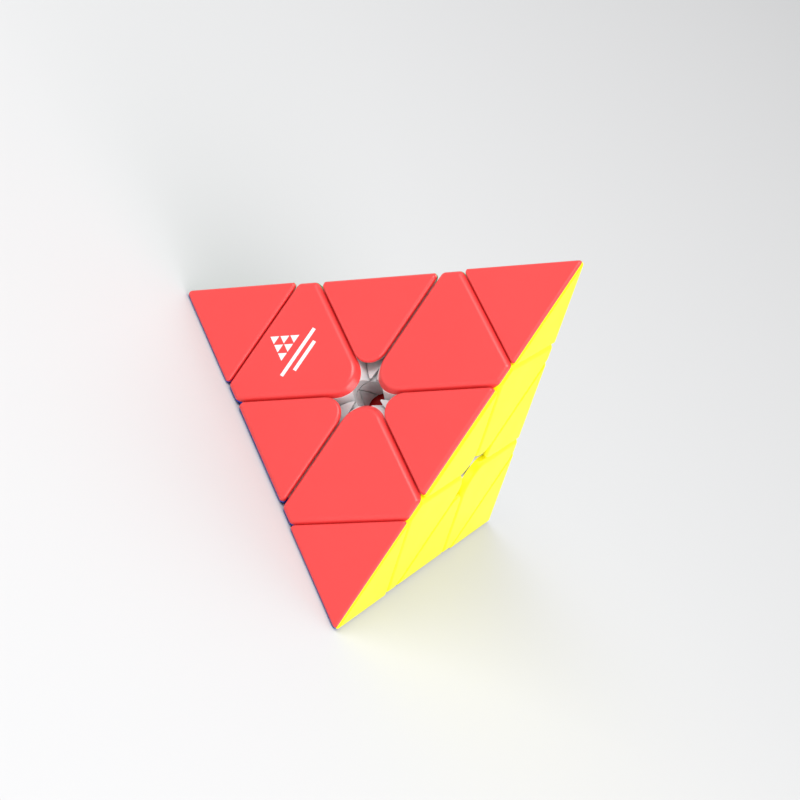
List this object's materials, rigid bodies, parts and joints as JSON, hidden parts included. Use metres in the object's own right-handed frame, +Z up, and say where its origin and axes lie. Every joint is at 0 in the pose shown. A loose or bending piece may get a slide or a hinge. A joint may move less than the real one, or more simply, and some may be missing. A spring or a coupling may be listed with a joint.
{
  "type": "pyramid twisty puzzle",
  "caption": "Stickerless tetrahedral twisty puzzle with corner layers and tips that turn about a hidden core and a star-shaped opening in each coloured face.",
  "frame": {"origin": "centre of the blue base face, on the plane that the puzzle rests on", "axes": "+Z up through the core centre to the top vertex; +X from the left vertex to the right vertex, along the edge between the red and the blue face; +Y from that edge towards the back vertex"},
  "size_m": [0.0954, 0.0828, 0.0782],
  "materials": {
    "red_plastic": "satin moulded red plastic",
    "yellow_plastic": "satin moulded yellow plastic",
    "blue_plastic": "satin moulded blue plastic",
    "green_plastic": "satin moulded green plastic",
    "white_plastic": "frosted white moulded plastic",
    "core_plastic": "dark red moulded plastic",
    "steel": "zinc-plated steel",
    "spring_steel": "drawn spring wire"
  },
  "bodies": {
    "core": {"core": "core_plastic", "axis_screws": "steel", "spring_washers": "steel", "springs": "spring_steel"},
    "axial_top": {"axial_top_carrier": "white_plastic", "axial_top_green_cap": "green_plastic", "axial_top_red_cap": "red_plastic", "axial_top_yellow_cap": "yellow_plastic"},
    "tip_top": {"tip_top_base": "white_plastic", "tip_top_green_cap": "green_plastic", "tip_top_red_cap": "red_plastic", "tip_top_yellow_cap": "yellow_plastic"},
    "axial_left": {"axial_left_blue_cap": "blue_plastic", "axial_left_carrier": "white_plastic", "axial_left_green_cap": "green_plastic", "axial_left_red_cap": "red_plastic"},
    "tip_left": {"tip_left_base": "white_plastic", "tip_left_blue_cap": "blue_plastic", "tip_left_green_cap": "green_plastic", "tip_left_red_cap": "red_plastic"},
    "axial_right": {"axial_right_blue_cap": "blue_plastic", "axial_right_carrier": "white_plastic", "axial_right_red_cap": "red_plastic", "axial_right_yellow_cap": "yellow_plastic"},
    "tip_right": {"tip_right_base": "white_plastic", "tip_right_blue_cap": "blue_plastic", "tip_right_red_cap": "red_plastic", "tip_right_yellow_cap": "yellow_plastic"},
    "axial_back": {"axial_back_blue_cap": "blue_plastic", "axial_back_carrier": "white_plastic", "axial_back_green_cap": "green_plastic", "axial_back_yellow_cap": "yellow_plastic"},
    "tip_back": {"tip_back_base": "white_plastic", "tip_back_blue_cap": "blue_plastic", "tip_back_green_cap": "green_plastic", "tip_back_yellow_cap": "yellow_plastic"},
    "edge_top_left": {"edge_top_left_body": "white_plastic", "edge_top_left_green_cap": "green_plastic", "edge_top_left_red_cap": "red_plastic"},
    "edge_top_right": {"edge_top_right_body": "white_plastic", "edge_top_right_red_cap": "red_plastic", "edge_top_right_yellow_cap": "yellow_plastic"},
    "edge_top_back": {"edge_top_back_body": "white_plastic", "edge_top_back_green_cap": "green_plastic", "edge_top_back_yellow_cap": "yellow_plastic"},
    "edge_left_right": {"edge_left_right_blue_cap": "blue_plastic", "edge_left_right_body": "white_plastic", "edge_left_right_red_cap": "red_plastic"},
    "edge_left_back": {"edge_left_back_blue_cap": "blue_plastic", "edge_left_back_body": "white_plastic", "edge_left_back_green_cap": "green_plastic"},
    "edge_right_back": {"edge_right_back_blue_cap": "blue_plastic", "edge_right_back_body": "white_plastic", "edge_right_back_yellow_cap": "yellow_plastic"}
  },
  "joints": [
    {"name": "axial_top_turn", "type": "hinge", "parent": "core", "child": "axial_top", "pos_m": [0, 0, 0.02], "axis": [0, 0, 1], "range_deg": [-120, 120]},
    {"name": "axial_left_turn", "type": "hinge", "parent": "core", "child": "axial_left", "pos_m": [0, 0, 0.02], "axis": [-0.8165, -0.4714, -0.3333], "range_deg": [-120, 120]},
    {"name": "axial_right_turn", "type": "hinge", "parent": "core", "child": "axial_right", "pos_m": [0, 0, 0.02], "axis": [0.8165, -0.4714, -0.3333], "range_deg": [-120, 240]},
    {"name": "axial_back_turn", "type": "hinge", "parent": "core", "child": "axial_back", "pos_m": [0, 0, 0.02], "axis": [0, 0.9428, -0.3333], "range_deg": [-120, 120]},
    {"name": "tip_top_turn", "type": "hinge", "parent": "axial_top", "child": "tip_top", "pos_m": [0, 0, 0.02], "axis": [0, 0, 1], "continuous": true},
    {"name": "tip_left_turn", "type": "hinge", "parent": "axial_left", "child": "tip_left", "pos_m": [0, 0, 0.02], "axis": [-0.8165, -0.4714, -0.3333], "continuous": true},
    {"name": "tip_right_turn", "type": "hinge", "parent": "axial_right", "child": "tip_right", "pos_m": [0, 0, 0.02], "axis": [0.8165, -0.4714, -0.3333], "continuous": true},
    {"name": "tip_back_turn", "type": "hinge", "parent": "axial_back", "child": "tip_back", "pos_m": [0, 0, 0.02], "axis": [0, 0.9428, -0.3333], "continuous": true},
    {"name": "edge_top_left_turn", "type": "hinge", "parent": "axial_top", "child": "edge_top_left", "pos_m": [0, 0, 0.02], "axis": [-0.8165, -0.4714, -0.3333], "range_deg": [-120, 120]},
    {"name": "edge_top_right_turn", "type": "hinge", "parent": "axial_top", "child": "edge_top_right", "pos_m": [0, 0, 0.02], "axis": [0.8165, -0.4714, -0.3333], "range_deg": [-120, 240]},
    {"name": "edge_top_back_turn", "type": "hinge", "parent": "axial_back", "child": "edge_top_back", "pos_m": [0, 0, 0.02], "axis": [0, 0, 1], "range_deg": [-120, 120]},
    {"name": "edge_left_right_turn", "type": "hinge", "parent": "axial_left", "child": "edge_left_right", "pos_m": [0, 0, 0.02], "axis": [0.8165, -0.4714, -0.3333], "range_deg": [-120, 240]},
    {"name": "edge_left_back_turn", "type": "hinge", "parent": "axial_left", "child": "edge_left_back", "pos_m": [0, 0, 0.02], "axis": [0, 0.9428, -0.3333], "range_deg": [-120, 120]},
    {"name": "edge_right_back_turn", "type": "hinge", "parent": "axial_back", "child": "edge_right_back", "pos_m": [0, 0, 0.02], "axis": [0.8165, -0.4714, -0.3333], "range_deg": [-120, 240]}
  ],
  "couplings": [
    {"joint": "edge_top_left_turn", "follows": "axial_left_turn", "ratio": 1},
    {"joint": "edge_top_right_turn", "follows": "axial_right_turn", "ratio": 1},
    {"joint": "edge_top_back_turn", "follows": "axial_top_turn", "ratio": 1},
    {"joint": "edge_left_right_turn", "follows": "axial_right_turn", "ratio": 1},
    {"joint": "edge_left_back_turn", "follows": "axial_back_turn", "ratio": 1},
    {"joint": "edge_right_back_turn", "follows": "axial_right_turn", "ratio": 1}
  ]
}
